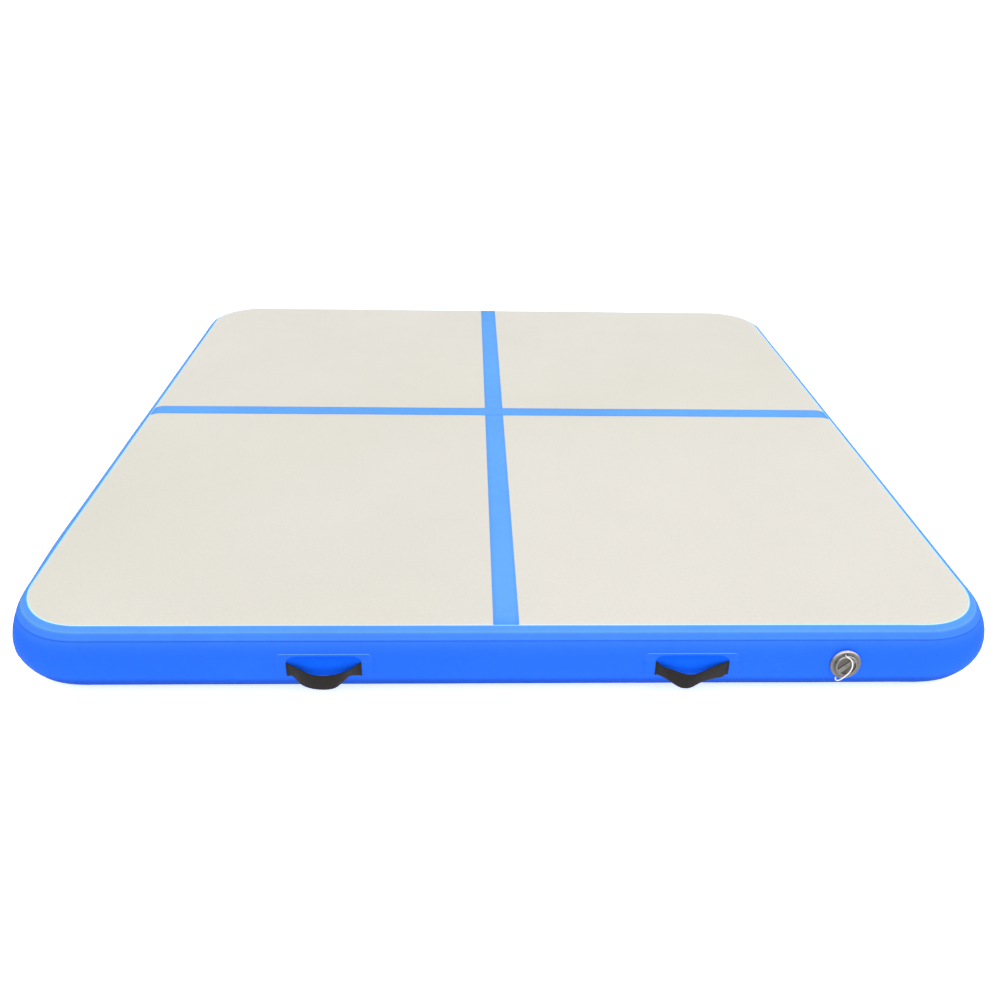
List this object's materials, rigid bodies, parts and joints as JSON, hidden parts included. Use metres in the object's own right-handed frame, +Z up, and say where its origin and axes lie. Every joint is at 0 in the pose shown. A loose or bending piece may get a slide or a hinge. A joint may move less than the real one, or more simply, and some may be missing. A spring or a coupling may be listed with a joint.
{
  "type": "air track mat",
  "caption": "Inflatable square gymnastics mat with rounded side walls, a taped cross on top, webbing carry handles and an inflation valve.",
  "frame": {"origin": "middle of the mat's footprint, on the floor", "axes": "+X to the right along the front wall, towards the valve; +Y to the back; +Z up. The valve is in the front wall, which faces -Y"},
  "size_m": [1.9996, 2.0544, 0.151],
  "materials": {
    "pvc_cream": "satin",
    "pvc_blue": "satin",
    "tape_light_blue": "satin",
    "drop_stitch": "matte",
    "webbing_black": "matte",
    "rubber_black": "matte",
    "spring_steel": "satin",
    "cord_white": "gloss",
    "valve_plastic": "satin"
  },
  "bodies": {
    "root": {"top_sheet": "pvc_cream", "bottom_sheet": "pvc_blue", "side_wall_strip": "pvc_blue", "seam_tape_top": "pvc_blue", "seam_tape_bottom": "pvc_blue", "drop_stitch_cloth_top": "drop_stitch", "drop_stitch_cloth_bottom": "drop_stitch", "drop_stitch_threads": "drop_stitch", "line_tape_long": "tape_light_blue", "line_tape_cross": "tape_light_blue", "handle_front_left_base_patch": "pvc_blue", "handle_front_left_cover_patch": "pvc_blue", "handle_front_left_strap_ends": "webbing_black", "handle_front_right_base_patch": "pvc_blue", "handle_front_right_cover_patch": "pvc_blue", "handle_front_right_strap_ends": "webbing_black", "handle_back_left_base_patch": "pvc_blue", "handle_back_left_cover_patch": "pvc_blue", "handle_back_left_strap_ends": "webbing_black", "handle_back_right_base_patch": "pvc_blue", "handle_back_right_cover_patch": "pvc_blue", "handle_back_right_strap_ends": "webbing_black", "valve_body": "valve_plastic", "valve_gasket_outer": "pvc_blue", "valve_gasket_inner": "rubber_black", "valve_backing_nut": "valve_plastic", "valve_spring": "spring_steel", "cap_tether": "cord_white"},
    "handle_front_left_loop": {"handle_front_left_strap": "webbing_black"},
    "handle_front_right_loop": {"handle_front_right_strap": "webbing_black"},
    "handle_back_left_loop": {"handle_back_left_strap": "webbing_black"},
    "handle_back_right_loop": {"handle_back_right_strap": "webbing_black"},
    "plunger_slider": {"spring_collar": "valve_plastic"},
    "plunger": {"valve_plunger": "valve_plastic", "valve_diaphragm": "rubber_black", "plunger_nut": "valve_plastic"},
    "cap_carrier": {"tether_ring": "valve_plastic"},
    "cap": {"valve_cap": "valve_plastic", "cap_seal": "rubber_black"}
  },
  "joints": [
    {"name": "handle_front_left_lift", "type": "hinge", "parent": "root", "child": "handle_front_left_loop", "pos_m": [-0.3465, -1.0018, 0.0915], "axis": [-1, 0, 0], "range_deg": [0, 90]},
    {"name": "handle_front_right_lift", "type": "hinge", "parent": "root", "child": "handle_front_right_loop", "pos_m": [0.358, -1.0018, 0.0915], "axis": [-1, 0, 0], "range_deg": [0, 90]},
    {"name": "handle_back_left_lift", "type": "hinge", "parent": "root", "child": "handle_back_left_loop", "pos_m": [-0.353, 1.0018, 0.0915], "axis": [1, 0, 0], "range_deg": [0, 90]},
    {"name": "handle_back_right_lift", "type": "hinge", "parent": "root", "child": "handle_back_right_loop", "pos_m": [0.353, 1.0018, 0.0915], "axis": [1, 0, 0], "range_deg": [0, 90]},
    {"name": "cap_lift", "type": "slide", "parent": "root", "child": "cap_carrier", "axis": [0, -0.9925, 0.1219], "range_m": [0, 0.03], "deforming": ["cap_tether"]},
    {"name": "cap_turn", "type": "hinge", "parent": "cap_carrier", "child": "cap", "pos_m": [0.6567, -0.99943, 0.08425], "axis": [0, -0.9925, 0.1219], "range_deg": [0, 90]},
    {"name": "plunger_press", "type": "slide", "parent": "root", "child": "plunger_slider", "axis": [0, 0.9925, -0.1219], "range_m": [0, 0.005], "stiffness_N_per_m": 600, "springref_m": -0.004, "deforming": ["valve_spring"]},
    {"name": "plunger_turn", "type": "hinge", "parent": "plunger_slider", "child": "plunger", "pos_m": [0.6567, -0.99943, 0.08425], "axis": [0, -0.9925, 0.1219], "range_deg": [0, 90]}
  ]
}
